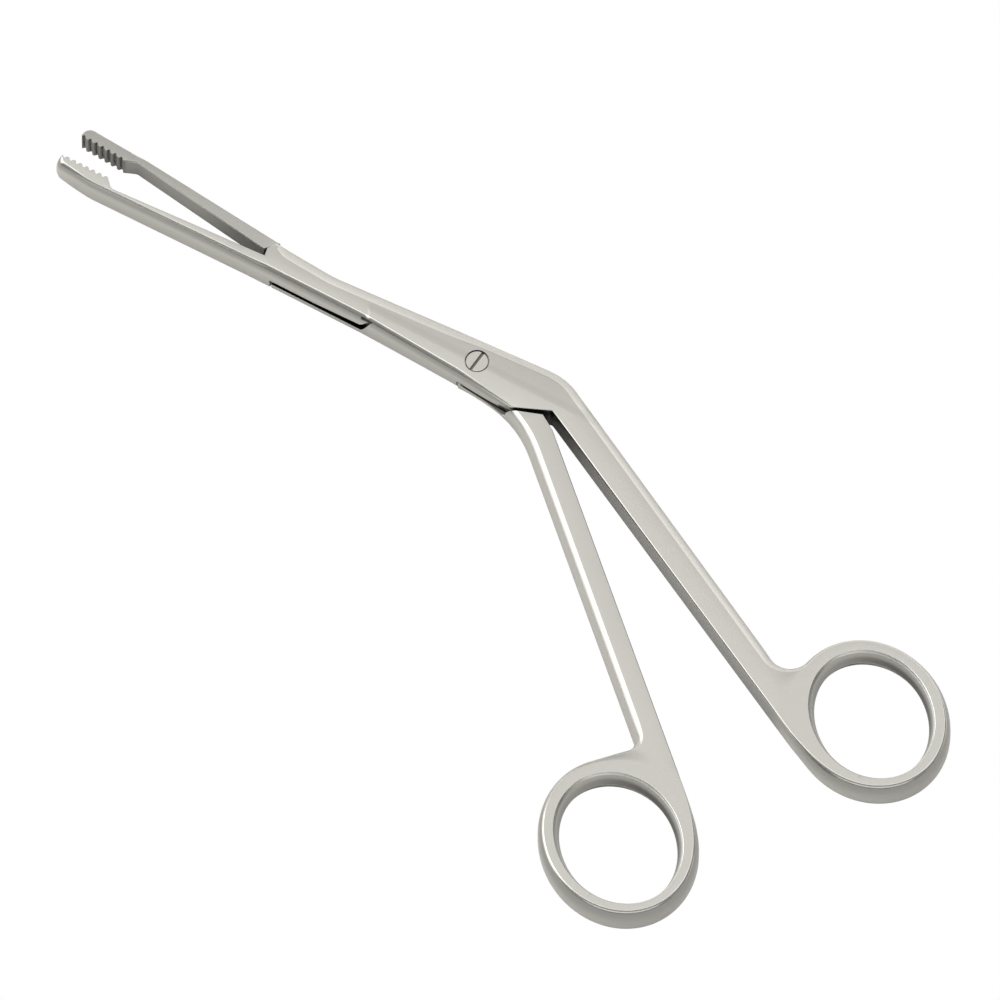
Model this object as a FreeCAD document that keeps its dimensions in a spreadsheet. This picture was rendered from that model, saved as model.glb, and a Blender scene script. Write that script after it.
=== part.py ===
"""Angled nasal dressing forceps with finger rings, at real size, in millimetres.

The part lies on its rear face. The origin is on the pivot axis in the plane of
that face, +Z points out of the screw head, and the jaws point towards -X.
The lower jaw shank carries the near cheek of the joint. The upper jaw shank
lies behind that cheek and turns about the pivot screw. It is drawn with the
jaws shut and then placed with them open by the closing angle.
"""
import FreeCAD, Part
import Sketcher
import math
import os

Vector = FreeCAD.Vector

doc = FreeCAD.newDocument("nasal_dressing_forceps")
sheet = doc.addObject("Spreadsheet::Sheet", "Sizes")

SIZES = {
    # whole tool
    "forging_depth": 6.0,
    "lap_depth": 2.9,
    "lap_clearance": 0.08,
    "closing_angle": 3.7,
    "outer_rounding": 1.5,
    "lower_rounding": 0.9,
    # jaws
    "jaw_length": 10.4,
    "tip_lean": 0.8,
    "upper_jaw_setback": 1.6,
    "jaw_end_reach": 76.4,
    "jaw_heel_run": 1.6,
    "jaw_back_run": 2.2,
    "upper_heel_run": 2.7,
    "upper_tip_fall": 0.1,
    "teeth_line": 0.62,
    "teeth_pitch": 1.33,
    "teeth_depth": 0.5,
    "teeth_width": 1.0,
    "teeth_count": 7,
    "teeth_run": 9.47,
    "teeth_mesh": 0.2,
    "lower_jaw_height": 3.02,
    "lower_tip_height": 2.45,
    "upper_jaw_height": 2.42,
    "tip_rounding": 1.6,
    "jaw_back_radius": 12.0,
    # arms between the jaws and the fork
    "fork_reach": 43.0,
    "fork_lean": 0.9,
    "lower_arm_drop": 2.3,
    "lip_drop": 0.35,
    "lip_start_run": 14.0,
    "lip_start_drop": 1.15,
    "arm_foot_run": 0.8,
    "strip_foot_run": 1.0,
    "recess_run": 1.5,
    "arm_recess_run": 0.6,
    "arm_bottom": 3.08,
    "arm_depth": 5.0,
    "upper_arm_top": 0.75,
    "upper_arm_heel_thickness": 1.3,
    "upper_arm_root_drop": 1.72,
    "upper_arm_root_run": 2.3,
    "upper_arm_foot_run": 0.4,
    "arm_root_run": 1.6,
    "arm_root_step": 0.2,
    "arm_rounding": 0.7,
    # shaft between the fork and the elbow
    "shaft_bottom": 3.02,
    "fork_top": 2.95,
    "neck_reach": 31.0,
    "neck_top": 2.2,
    "web_drop": 1.9,
    "web_clearance": 0.1,
    "web_end_reach": 1.95,
    "slot_reach": 22.3,
    "strip_end_run": 2.0,
    "strip_depth": 1.7,
    "strip_kerf": 0.4,
    "flange_height": 0.9,
    "flange_end_run": 0.8,
    "flange_clearance": 0.09,
    # joint and elbow
    "cheek_bottom": 4.05,
    "cheek_corner_reach": 10.0,
    "cheek_corner_drop": 5.0,
    "inner_elbow_reach": 16.7,
    "inner_elbow_drop": 2.0,
    "inner_elbow_radius": 0.8,
    "elbow_reach": 15.6,
    "elbow_top": 5.25,
    "elbow_radius": 12.0,
    "lap_top": 3.25,
    "lap_top_reach": 4.6,
    "lap_neck_reach": 22.0,
    "lap_neck_top": 0.95,
    "lap_side_shift": 0.35,
    "lap_side_low_share": 0.15,
    "lap_side_high_share": 0.6,
    "shoulder_clearance": 0.13,
    "shoulder_reach": 15.9,
    "shoulder_back_run": 3.1,
    "shoulder_back_drop": 1.6,
    "hook_gap": 0.62,
    "hook_overhang": 0.2,
    # handles and finger rings
    "handle_bend_reach": 11.57,
    "handle_bend_drop": 4.75,
    "handle_bend_radius": 22.0,
    "ring_long": 16.0,
    "ring_short": 13.95,
    "hole_long": 12.5,
    "hole_short": 10.0,
    "hole_flare": 1.0,
    "ring_root_depth": 1.75,
    "ring_rounding": 1.25,
    "lower_ring_reach": 96.5,
    "lower_ring_drop": 26.73,
    "lower_ring_tilt": 34.0,
    "upper_ring_reach": 73.85,
    "upper_ring_drop": 66.05,
    "upper_ring_tilt": 34.0,
    "lower_tangent_inset": 0.35,
    "upper_tangent_inset": 0.1,
    "lower_tangent_turn": 81.6,
    "lower_back_turn": 126.2,
    "upper_tangent_turn": 83.2,
    "upper_back_turn": 123.7,
    "web_inset": 0.9,
    "web_sink": 0.1,
    "lower_web_turn": 153.0,
    "lower_web_share": 0.06,
    "lower_web_end_share": 0.14,
    "lower_web_radius": 4.2,
    "upper_web_turn": 167.0,
    "upper_web_share": 0.095,
    "upper_web_end_share": 0.15,
    "upper_web_radius": 2.4,
    # pivot screw
    "head_radius": 2.2,
    "head_height": 1.1,
    "head_slot_width": 0.5,
    "head_slot_depth": 0.5,
    "stem_radius": 1.5,
    "tail_radius": 2.0,
    "tail_height": 0.7,
    "tail_clearance": 0.08,
    "running_clearance": 0.04,
    "seat_clearance": 0.02,
    "slot_floor": 0.1,
    # how far cutters reach past the metal
    "overcut": 0.5,
    "far_reach": 12.0,
}


class Size:
    """A length or angle that knows its value and its sheet expression."""

    def __init__(self, value, text):
        self.value = value
        self.text = text

    @staticmethod
    def of(other):
        """Give a number as a size."""
        return other if isinstance(other, Size) else Size(float(other), repr(float(other)))

    def join(self, other, sign, result):
        """Combine two sizes under one arithmetic sign."""
        return Size(result, "(%s %s %s)" % (self.text, sign, Size.of(other).text))

    def __add__(self, other):
        return self.join(other, "+", self.value + Size.of(other).value)

    def __sub__(self, other):
        return self.join(other, "-", self.value - Size.of(other).value)

    def __mul__(self, other):
        return self.join(other, "*", self.value * Size.of(other).value)

    def __truediv__(self, other):
        return self.join(other, "/", self.value / Size.of(other).value)

    def __rmul__(self, other):
        return Size.of(other) * self

    def __rsub__(self, other):
        return Size.of(other) - self

    def __neg__(self):
        return Size(-self.value, "(-%s)" % self.text)

    def sin(self):
        """Sine of an angle in degrees."""
        return Size(math.sin(math.radians(self.value)), "sin(%s)" % self.text)

    def cos(self):
        """Cosine of an angle in degrees."""
        return Size(math.cos(math.radians(self.value)), "cos(%s)" % self.text)

    def tan(self):
        """Tangent of an angle in degrees."""
        return Size(math.tan(math.radians(self.value)), "tan(%s)" % self.text)


def fill_sheet():
    """Write each driving size as text beside its name and alias it."""
    for row, (name, number) in enumerate(SIZES.items(), start=1):
        sheet.set("A%d" % row, name)
        sheet.set("B%d" % row, str(number))
        sheet.setAlias("B%d" % row, name)
    doc.recompute()
    return {name: Size(float(sheet.get(name)), "Sizes." + name) for name in SIZES}


S = fill_sheet()
ZERO = Size(0.0, "0")


def bind(target, prop, size):
    """Tie one property of an object to the sheet."""
    target.setExpression(prop, size.text)


def fix_point(sketch, index, position, x, y):
    """Hold one sketch point at two sizes."""
    for kind, size in (("DistanceX", x), ("DistanceY", y)):
        number = sketch.addConstraint(Sketcher.Constraint(kind, index, position, size.value))
        bind(sketch, "Constraints[%d]" % number, size)


def along(start, end, length):
    """Point at a length from start on the way to end."""
    way = end - start
    return start + way * (length / way.Length)


def draw_outline(sketch, corners):
    """Draw a closed outline of (x, y, radius) corners, a radius of None being sharp.

    A rounded corner is an arc tangent to both of its sides, and a construction
    point holds the place where the two sides would meet.
    """
    points = [Vector(x.value, y.value, 0) for x, y, _ in corners]
    count = len(corners)
    ends = []
    for i, (_, _, radius) in enumerate(corners):
        before, here, after = points[i - 1], points[i], points[(i + 1) % count]
        if radius is None:
            ends.append((here, here))
            continue
        turn = (here - before).getAngle(after - here)
        reach = radius.value * math.tan(turn / 2)
        ends.append((along(here, before, reach), along(here, after, reach)))
    for i in range(count):
        sketch.addGeometry(Part.LineSegment(ends[i][1], ends[(i + 1) % count][0]))
    for i, (x, y, radius) in enumerate(corners):
        side_in, side_out = (i - 1) % count, i
        if radius is None:
            sketch.addConstraint(Sketcher.Constraint("Coincident", side_in, 2, side_out, 1))
            fix_point(sketch, side_out, 1, x, y)
            continue
        before, here, after = points[i - 1], points[i], points[(i + 1) % count]
        middle_way = ((before - here).normalize() + (after - here).normalize()).normalize()
        half = (before - here).getAngle(after - here) / 2
        centre = here + middle_way * (radius.value / math.sin(half))
        turns_left = (here - before).cross(after - here).z > 0
        first, last = (1, 2) if turns_left else (2, 1)
        low, high = [math.atan2(end.y - centre.y, end.x - centre.x)
                     for end in (ends[i] if turns_left else ends[i][::-1])]
        circle = Part.Circle(centre, Vector(0, 0, 1), radius.value)
        arc = sketch.addGeometry(Part.ArcOfCircle(circle, low, high))
        sketch.addConstraint(Sketcher.Constraint("Tangent", side_in, 2, arc, first))
        sketch.addConstraint(Sketcher.Constraint("Tangent", arc, last, side_out, 1))
        number = sketch.addConstraint(Sketcher.Constraint("Radius", arc, radius.value))
        bind(sketch, "Constraints[%d]" % number, radius)
        corner = sketch.addGeometry(Part.Point(here), True)
        sketch.addConstraint(Sketcher.Constraint("PointOnObject", corner, 1, side_in))
        sketch.addConstraint(Sketcher.Constraint("PointOnObject", corner, 1, side_out))
        fix_point(sketch, corner, 1, x, y)


def draw_oval(sketch, centre, half_long, half_short, tilt):
    """Draw an ellipse whose long half axis leans by tilt degrees below +X."""
    middle = Vector(centre[0].value, centre[1].value, 0)
    lean = math.radians(-tilt.value)
    long_way = Vector(math.cos(lean), math.sin(lean), 0)
    short_way = Vector(-math.sin(lean), math.cos(lean), 0)
    oval = Part.Ellipse(middle + long_way * half_long.value,
                        middle + short_way * half_short.value, middle)
    sketch.addGeometry(oval)
    sketch.exposeInternalGeometry(0)
    fix_point(sketch, 0, 3, *centre)
    for line, size in ((1, 2 * half_long), (2, 2 * half_short)):
        number = sketch.addConstraint(Sketcher.Constraint("Distance", line, size.value))
        bind(sketch, "Constraints[%d]" % number, size)
    axis = sketch.Geometry[1]
    way = axis.EndPoint - axis.StartPoint
    heading = math.degrees(math.atan2(way.y, way.x))
    reversed_axis = abs(heading + tilt.value) > 90
    number = sketch.addConstraint(Sketcher.Constraint("Angle", 1, math.radians(heading)))
    half_turn = 180.0 * round((heading + tilt.value) / 180.0) if reversed_axis else 0.0
    bind(sketch, "Constraints[%d]" % number, half_turn - tilt)


def body_sketch(body, name):
    """New sketch on the body's own XY plane."""
    sketch = body.newObject("Sketcher::SketchObject", name)
    plane = next(item for item in body.Origin.OriginFeatures if item.Role == "XY_Plane")
    sketch.AttachmentSupport = [(plane, "")]
    sketch.MapMode = "FlatFace"
    return sketch


def pad(body, sketch, name, depth):
    """Pad a sketch upwards from the rear face."""
    feature = body.newObject("PartDesign::Pad", name)
    feature.Profile = sketch
    feature.Type = "Length"
    bind(feature, "Length", depth)
    doc.recompute()
    return feature


def round_edges(body, feature, name, radius, wanted):
    """Fillet the edges of a feature that the test picks."""
    picked = ["Edge%d" % (i + 1) for i, edge in enumerate(feature.Shape.Edges) if wanted(edge)]
    fillet = body.newObject("PartDesign::Fillet", name)
    fillet.Base = (feature, picked)
    bind(fillet, "Radius", radius)
    doc.recompute()
    return fillet


def edge_middle(edge):
    """Point half way along an edge."""
    return edge.valueAt((edge.FirstParameter + edge.LastParameter) / 2)


def is_level(edge):
    """Say whether an edge lies in one level plane."""
    box = edge.BoundBox
    return box.ZLength < 1e-6


def distance_to_side(point, start, end):
    """Distance in plan from a point to the side between two corners."""
    side = end - start
    share = max(0.0, min(1.0, (point - start).dot(side) / side.dot(side)))
    return (point - (start + side * share)).Length


def nearest_side(corners, edge):
    """Number of the outline side that an edge belongs to."""
    middle = edge_middle(edge)
    flat = Vector(middle.x, middle.y, 0)
    points = [Vector(x.value, y.value, 0) for x, y, _ in corners]
    count = len(points)
    return min(range(count),
               key=lambda i: distance_to_side(flat, points[i], points[(i + 1) % count]))


def forging(name, corners, depth, roundings):
    """Pad an outline and round its level edges, each rounding on its own sides."""
    body = doc.addObject("PartDesign::Body", name)
    sketch = body_sketch(body, name + "_outline")
    draw_outline(sketch, corners)
    doc.recompute()
    feature = pad(body, sketch, name + "_pad", depth)
    for number, (radius, sides) in enumerate(roundings):
        feature = round_edges(
            body, feature, "%s_rounding_%d" % (name, number), radius,
            lambda edge: is_level(edge) and nearest_side(corners, edge) in sides)
    body.Tip = feature
    doc.recompute()
    return body


def oval_sketch(name, centre, half_long, half_short, tilt, height):
    """Oval in a level plane at a height."""
    sketch = doc.addObject("Sketcher::SketchObject", name)
    draw_oval(sketch, centre, half_long, half_short, tilt)
    bind(sketch, "Placement.Base.z", height)
    doc.recompute()
    return sketch


def finger_ring(name, centre, tilt):
    """Oval finger ring with rounded outer rims and a hole that is narrowest half way down."""
    body = doc.addObject("PartDesign::Body", name + "_blank")
    outer = body_sketch(body, name + "_outer")
    draw_oval(outer, centre, S["ring_long"], S["ring_short"], tilt)
    doc.recompute()
    blank = pad(body, outer, name + "_pad", S["forging_depth"])
    body.Tip = round_edges(body, blank, name + "_rims", S["ring_rounding"], is_level)
    doc.recompute()
    hole = doc.addObject("Part::Loft", name + "_hole")
    wide_long = S["hole_long"] + S["hole_flare"]
    wide_short = S["hole_short"] + S["hole_flare"]
    hole.Sections = [
        oval_sketch(name + "_rear", centre, wide_long, wide_short, tilt, -S["overcut"]),
        oval_sketch(name + "_waist", centre, S["hole_long"], S["hole_short"], tilt,
                    S["forging_depth"] / 2),
        oval_sketch(name + "_near", centre, wide_long, wide_short, tilt,
                    S["forging_depth"] + S["overcut"]),
    ]
    hole.Solid = True
    hole.Ruled = True
    return cut(name, body, [hole])


def prism(name, corners, low, high):
    """Straight block of an outline between two heights."""
    sketch = doc.addObject("Sketcher::SketchObject", name + "_outline")
    draw_outline(sketch, corners)
    bind(sketch, "Placement.Base.z", low)
    doc.recompute()
    block = doc.addObject("Part::Extrusion", name)
    block.Base = sketch
    block.DirMode = "Custom"
    block.Dir = Vector(0, 0, 1)
    block.Solid = True
    bind(block, "LengthFwd", high - low)
    doc.recompute()
    return block


def rod(name, radius, low, high):
    """Round rod about the pivot axis between two heights."""
    cylinder = doc.addObject("Part::Cylinder", name)
    bind(cylinder, "Radius", radius)
    bind(cylinder, "Height", high - low)
    bind(cylinder, "Placement.Base.z", low)
    return cylinder


def fuse(name, shapes):
    """Join shapes into one."""
    joined = doc.addObject("Part::MultiFuse", name)
    joined.Shapes = shapes
    joined.Refine = True
    return joined


def cut(name, base, tools):
    """Cut several shapes out of a base."""
    result = doc.addObject("Part::Cut", name)
    result.Base = base
    result.Tool = fuse(name + "_tools", tools) if len(tools) > 1 else tools[0]
    return result


def sharp(x, y):
    """Outline corner without a radius."""
    return (x, y, None)


def rectangle(low_x, high_x, low_y, high_y):
    """Outline of an upright rectangle."""
    return [sharp(low_x, low_y), sharp(high_x, low_y), sharp(high_x, high_y), sharp(low_x, high_y)]


OVERCUT = S["overcut"]
FAR = S["far_reach"]

depth = S["forging_depth"]
jaw_end_x = -S["jaw_end_reach"]
tip_x = jaw_end_x - S["jaw_length"]
upper_tip_x = tip_x + S["upper_jaw_setback"]
fork_x = -S["fork_reach"]
strip_end_x = fork_x + S["strip_end_run"]
lip_start_x = fork_x - S["lip_start_run"]
lap_near = S["lap_depth"] - S["lap_clearance"]
teeth_y = -S["teeth_line"]
web_y = -S["web_drop"]
lap_low_y = web_y + S["web_clearance"]
underside_slope = (S["cheek_corner_drop"] - S["inner_elbow_drop"]) \
    / (S["inner_elbow_reach"] - S["cheek_corner_reach"])
lower_ring = (S["lower_ring_reach"], -S["lower_ring_drop"])
upper_ring = (S["upper_ring_reach"], -S["upper_ring_drop"])


def underside_y(x):
    """Height of the cheek's flat underside, which the other handle's shoulder meets."""
    return (x - S["cheek_corner_reach"]) * underside_slope - S["cheek_corner_drop"]


def ring_point(centre, tilt, turn, inset):
    """Point of a ring at a turn from its long axis, so far inside its outer edge."""
    long_part = (S["ring_long"] - inset) * turn.cos()
    short_part = (S["ring_short"] - inset) * turn.sin()
    return (centre[0] + long_part * tilt.cos() + short_part * tilt.sin(),
            centre[1] - long_part * tilt.sin() + short_part * tilt.cos())


def between(start, end, share):
    """Point at a share of the way from one corner to another."""
    return (start[0] + (end[0] - start[0]) * share, start[1] + (end[1] - start[1]) * share)


def ring_web(name, root, bend, ring_end, ring_deep, web_share, handle_share, radius):
    """Small concave web between a handle's back and its ring, set in from both faces."""
    return prism(name, [
        root,
        sharp(*ring_deep),
        sharp(*ring_end),
        between(root, bend, web_share) + (radius,),
        sharp(*between(root, bend, handle_share)),
    ], S["web_inset"], depth - S["web_inset"])


def teeth_cutters(name, line, offset, way):
    """Row of V grooves across a jaw face, cut upwards with a way of 1 or downwards with -1."""
    grooves = []
    mouth = line - way * OVERCUT
    slope = S["teeth_width"] / 2 / S["teeth_depth"]
    spread = S["teeth_width"] / 2 + slope * OVERCUT
    for number in range(int(S["teeth_count"].value)):
        middle = offset + jaw_end_x - S["teeth_run"] + S["teeth_pitch"] * (number + 0.5)
        grooves.append(prism("%s_%d" % (name, number + 1), [
            sharp(middle - spread, mouth),
            sharp(middle + spread, mouth),
            sharp(middle, line + way * S["teeth_depth"]),
        ], -OVERCUT, depth + OVERCUT))
    return grooves


# Lower jaw shank: jaw, arm with its near lip, near cheek, elbow, handle and ring


def lower_ring_point(turn, inset):
    """Point of the lower shank's ring."""
    return ring_point(lower_ring, S["lower_ring_tilt"], turn, inset)


lower_root = sharp(*lower_ring_point(-S["lower_back_turn"], S["ring_root_depth"]))
lower_elbow = (S["elbow_reach"], S["elbow_top"], S["elbow_radius"])

LOWER_CORNERS = [
    sharp(tip_x + S["tip_lean"], teeth_y),
    (tip_x, teeth_y - S["lower_tip_height"], S["tip_rounding"]),
    (jaw_end_x - S["jaw_back_run"], teeth_y - S["lower_jaw_height"], S["jaw_back_radius"]),
    sharp(fork_x - S["arm_foot_run"], -S["arm_bottom"]),
    sharp(fork_x + S["strip_foot_run"], -S["shaft_bottom"]),
    sharp(-S["slot_reach"], -S["shaft_bottom"]),
    sharp(-S["web_end_reach"], -S["cheek_bottom"]),
    sharp(S["cheek_corner_reach"], -S["cheek_corner_drop"]),
    (S["inner_elbow_reach"], -S["inner_elbow_drop"], S["inner_elbow_radius"]),
    sharp(*lower_ring_point(-S["lower_tangent_turn"], S["lower_tangent_inset"])),
    lower_root,
    lower_elbow,
    sharp(-S["neck_reach"], S["neck_top"]),
    sharp(fork_x, S["fork_top"]),
    sharp(fork_x - S["fork_lean"], -S["lip_drop"]),
    sharp(lip_start_x, -S["lip_start_drop"]),
    sharp(jaw_end_x + S["jaw_heel_run"], -S["lower_arm_drop"]),
    sharp(jaw_end_x, teeth_y),
]
JAW_AND_ARM_BACK = {0, 1, 2, 3, 4, 5}
SHAFT_AND_HANDLE_BACK = {10, 11, 12}

lower_forging = forging("lower_forging", LOWER_CORNERS, depth, [
    (S["outer_rounding"], SHAFT_AND_HANDLE_BACK),
    (S["lower_rounding"], JAW_AND_ARM_BACK),
])
lower_finger_ring = finger_ring("lower_finger_ring", lower_ring, S["lower_ring_tilt"])
lower_web = ring_web("lower_web", lower_root, lower_elbow,
                     lower_ring_point(-S["lower_web_turn"], S["web_sink"]),
                     lower_ring_point(-S["lower_web_turn"], S["ring_root_depth"]),
                     S["lower_web_share"], S["lower_web_end_share"], S["lower_web_radius"])

# The upper shank's lap lies in this recess, and its right side follows the lap's own side.
lap_corner = (S["shoulder_reach"], underside_y(S["shoulder_reach"]) - S["shoulder_clearance"])
lap_side_run = lap_corner[0] - S["lap_top_reach"]
lap_side_fall = S["lap_top"] - lap_corner[1]
low_run = lap_side_run * S["lap_side_low_share"]
low_fall = lap_side_fall * S["lap_side_low_share"]
high_run = lap_side_run * S["lap_side_high_share"]
high_fall = lap_side_fall * S["lap_side_high_share"]

lap_recess = prism("lap_recess", [
    sharp(fork_x - S["recess_run"], web_y),
    sharp(-S["web_end_reach"], web_y),
    sharp(-S["web_end_reach"], -FAR),
    sharp(lap_corner[0] + lap_side_run, -FAR),
    sharp(lap_corner[0] + low_run + S["lap_side_shift"], lap_corner[1] - low_fall),
    sharp(S["lap_top_reach"] - high_run + S["lap_side_shift"], S["lap_top"] + high_fall),
    sharp(fork_x - S["recess_run"], S["lap_top"] + high_fall),
], -OVERCUT, S["lap_depth"])

arm_recess = prism("arm_recess",
                   rectangle(lip_start_x, fork_x + S["arm_recess_run"], web_y, FAR),
                   -OVERCUT, S["arm_depth"] + S["lap_clearance"])

flange_slot = prism("flange_slot",
                    rectangle(strip_end_x - S["strip_kerf"], -S["slot_reach"], -FAR,
                              web_y + OVERCUT),
                    S["strip_depth"], S["lap_depth"])

strip_kerf = prism("strip_kerf",
                   rectangle(strip_end_x - S["strip_kerf"], strip_end_x, -FAR, web_y + OVERCUT),
                   -OVERCUT, S["strip_depth"] + OVERCUT)

cheek_bore = rod("cheek_bore", S["stem_radius"] + S["seat_clearance"], ZERO, depth + OVERCUT)
head_seat = rod("head_seat", S["head_radius"] + S["seat_clearance"],
                depth - S["head_height"], depth + OVERCUT)

lower_metal = fuse("lower_metal", [lower_forging, lower_finger_ring, lower_web])
lower_jaw_shank = cut("lower_jaw_shank", lower_metal, [
    lap_recess, arm_recess, flange_slot, strip_kerf, cheek_bore, head_seat,
] + teeth_cutters("lower_groove", teeth_y, ZERO, -1))


# Upper jaw shank, drawn shut: lap behind the cheek, handle, ring, arm and jaw

hook_x = S["hook_gap"] - S["web_end_reach"]
arm_end_x = fork_x - S["arm_root_run"]
arm_root_top = S["upper_arm_top"] - S["arm_root_step"]


def upper_ring_point(turn, inset):
    """Point of the upper shank's ring."""
    return ring_point(upper_ring, S["upper_ring_tilt"], turn, inset)


upper_root = sharp(*upper_ring_point(S["upper_back_turn"], S["ring_root_depth"]))
handle_bend = (S["handle_bend_reach"], -S["handle_bend_drop"], S["handle_bend_radius"])

LAP_CORNERS = [
    sharp(hook_x, -S["cheek_bottom"] - S["hook_overhang"]),
    handle_bend,
    upper_root,
    sharp(*upper_ring_point(S["upper_tangent_turn"], S["upper_tangent_inset"])),
    sharp(S["shoulder_reach"] + S["shoulder_back_run"], lap_corner[1] - S["shoulder_back_drop"]),
    sharp(*lap_corner),
    sharp(S["lap_top_reach"], S["lap_top"]),
    sharp(-S["lap_top_reach"], S["lap_top"]),
    sharp(-S["lap_neck_reach"], S["lap_neck_top"]),
    sharp(arm_end_x, arm_root_top),
    sharp(arm_end_x, lap_low_y),
    sharp(hook_x, lap_low_y),
]
HANDLE_BACK = {0, 1}
upper_forging = forging("upper_forging", LAP_CORNERS, depth, [
    (S["outer_rounding"], HANDLE_BACK),
])
upper_finger_ring = finger_ring("upper_finger_ring", upper_ring, S["upper_ring_tilt"])
upper_web = ring_web("upper_web", upper_root, handle_bend,
                     upper_ring_point(S["upper_web_turn"], S["web_sink"]),
                     upper_ring_point(S["upper_web_turn"], S["ring_root_depth"]),
                     S["upper_web_share"], S["upper_web_end_share"], S["upper_web_radius"])


def shoulder_point(x):
    """Point of the flat shoulder that meets the cheek's underside."""
    return sharp(x, underside_y(x) - S["shoulder_clearance"])


shoulder_relief = prism("shoulder_relief", [
    sharp(fork_x - FAR, -FAR),
    shoulder_point(S["cheek_corner_reach"] - FAR),
    shoulder_point(S["cheek_corner_reach"] + FAR),
    sharp(S["cheek_corner_reach"] + FAR, FAR),
    sharp(fork_x - FAR, FAR),
], lap_near, depth + OVERCUT)
upper_lap = cut("upper_lap", upper_forging, [shoulder_relief])

jaw_face_y = teeth_y - S["teeth_mesh"]
arm_top_y = jaw_face_y + S["upper_jaw_height"]
upper_heel_x = jaw_end_x + S["upper_heel_run"]
ARM_CORNERS = [
    sharp(upper_tip_x, jaw_face_y),
    sharp(jaw_end_x + S["teeth_mesh"], jaw_face_y),
    sharp(upper_heel_x, arm_top_y - S["upper_arm_heel_thickness"]),
    sharp(fork_x - S["upper_arm_root_run"], -S["upper_arm_root_drop"]),
    sharp(fork_x - S["upper_arm_foot_run"], S["upper_arm_top"]),
    sharp(upper_heel_x, arm_top_y),
    (upper_tip_x, arm_top_y - S["upper_tip_fall"], S["tip_rounding"]),
]
ARM_BACK = {4, 5}
upper_arm = forging("upper_arm", ARM_CORNERS, S["arm_depth"], [(S["arm_rounding"], ARM_BACK)])

arm_root = prism("arm_root",
                 rectangle(arm_end_x, fork_x - S["upper_arm_foot_run"], lap_low_y, arm_root_top),
                 ZERO, lap_near)
guide_flange = prism("guide_flange",
                     rectangle(strip_end_x + S["flange_end_run"],
                               -S["slot_reach"] - S["flange_end_run"],
                               lap_low_y - S["flange_height"], lap_low_y + OVERCUT),
                     S["strip_depth"] + S["flange_clearance"], lap_near)

lap_bore = rod("lap_bore", S["stem_radius"] + S["running_clearance"], -OVERCUT, lap_near + OVERCUT)
tail_seat = rod("tail_seat", S["tail_radius"] + S["tail_clearance"], -OVERCUT,
                S["tail_height"] + S["tail_clearance"])

upper_jaw_shank = cut("upper_jaw_shank", fuse("upper_metal", [
    upper_lap, upper_finger_ring, upper_web, upper_arm, arm_root, guide_flange,
]), [lap_bore, tail_seat] + teeth_cutters("upper_groove", jaw_face_y, S["teeth_pitch"] / 2, 1))
upper_jaw_shank.Placement = FreeCAD.Placement(Vector(0, 0, 0), FreeCAD.Rotation(Vector(0, 0, 1), -1))
bind(upper_jaw_shank, "Placement.Rotation.Angle", -S["closing_angle"])


# Pivot screw: slotted head flush with the cheek, stem through the lap, riveted tail

screw_stem = rod("screw_stem", S["stem_radius"], ZERO, depth - S["head_slot_depth"] - S["slot_floor"])
screw_head = rod("screw_head", S["head_radius"], depth - S["head_height"], depth)
screw_tail = rod("screw_tail", S["tail_radius"], ZERO, S["tail_height"])
screw_slot = prism("screw_slot",
                   rectangle(-S["head_slot_width"] / 2, S["head_slot_width"] / 2, -FAR, FAR),
                   depth - S["head_slot_depth"], depth + OVERCUT)
pivot_screw = cut("pivot_screw", fuse("screw_metal", [screw_stem, screw_head, screw_tail]),
                  [screw_slot])

SUBPARTS = {
    "lower_jaw_shank": lower_jaw_shank,
    "upper_jaw_shank": upper_jaw_shank,
    "pivot_screw": pivot_screw,
}


def check_document():
    """Stop if any object failed or any sub-part is empty or broken."""
    doc.recompute()
    for item in doc.Objects:
        if "Invalid" in item.State or "Error" in item.State:
            raise RuntimeError("failed object: " + item.Name)
    for name, item in SUBPARTS.items():
        item.Label = name
        if item.Shape.isNull() or not item.Shape.isValid():
            raise RuntimeError("broken shape: " + name)
        if len(item.Shape.Solids) != 1:
            raise RuntimeError("not one solid: " + name)


def export_parts():
    """Write each sub-part to its own file."""
    os.makedirs("parts", exist_ok=True)
    for name, item in SUBPARTS.items():
        item.Shape.exportStep("parts/%s.step" % name)
        print(name, "volume %.1f mm3" % item.Shape.Volume, item.Shape.BoundBox)


check_document()
export_parts()
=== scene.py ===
"""Dress the nasal dressing forceps: smooth forged shanks, slotted screw, steel, light and camera."""
import logging
import math
from dataclasses import dataclass
from enum import Enum

import bpy
import numpy as np
from mathutils import Matrix, Vector
from mathutils.geometry import delaunay_2d_cdt


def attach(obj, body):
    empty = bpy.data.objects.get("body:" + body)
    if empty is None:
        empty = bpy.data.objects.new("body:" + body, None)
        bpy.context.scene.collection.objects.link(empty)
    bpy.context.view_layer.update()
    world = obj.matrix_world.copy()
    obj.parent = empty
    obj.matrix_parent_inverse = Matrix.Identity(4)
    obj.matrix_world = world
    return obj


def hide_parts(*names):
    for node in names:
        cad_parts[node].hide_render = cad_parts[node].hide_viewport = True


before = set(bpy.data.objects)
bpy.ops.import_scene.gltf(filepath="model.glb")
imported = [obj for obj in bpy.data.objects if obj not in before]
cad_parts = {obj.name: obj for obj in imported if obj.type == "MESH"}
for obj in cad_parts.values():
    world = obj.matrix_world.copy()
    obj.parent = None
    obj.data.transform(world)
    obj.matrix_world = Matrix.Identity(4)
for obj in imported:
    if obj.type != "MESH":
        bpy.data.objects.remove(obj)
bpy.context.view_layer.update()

log = logging.getLogger("forceps")

Point = tuple[float, float]

MM = 0.001
DEPTH = 6.0
OPEN_ANGLE = 3.7
TANGENT_TRIES = 4001
TANGENT_SPAN = 0.1
SHADING_WEIGHT = 90
SHARP_ANGLE = math.radians(32.0)
PICTURE_SIZE = 1000


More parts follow.
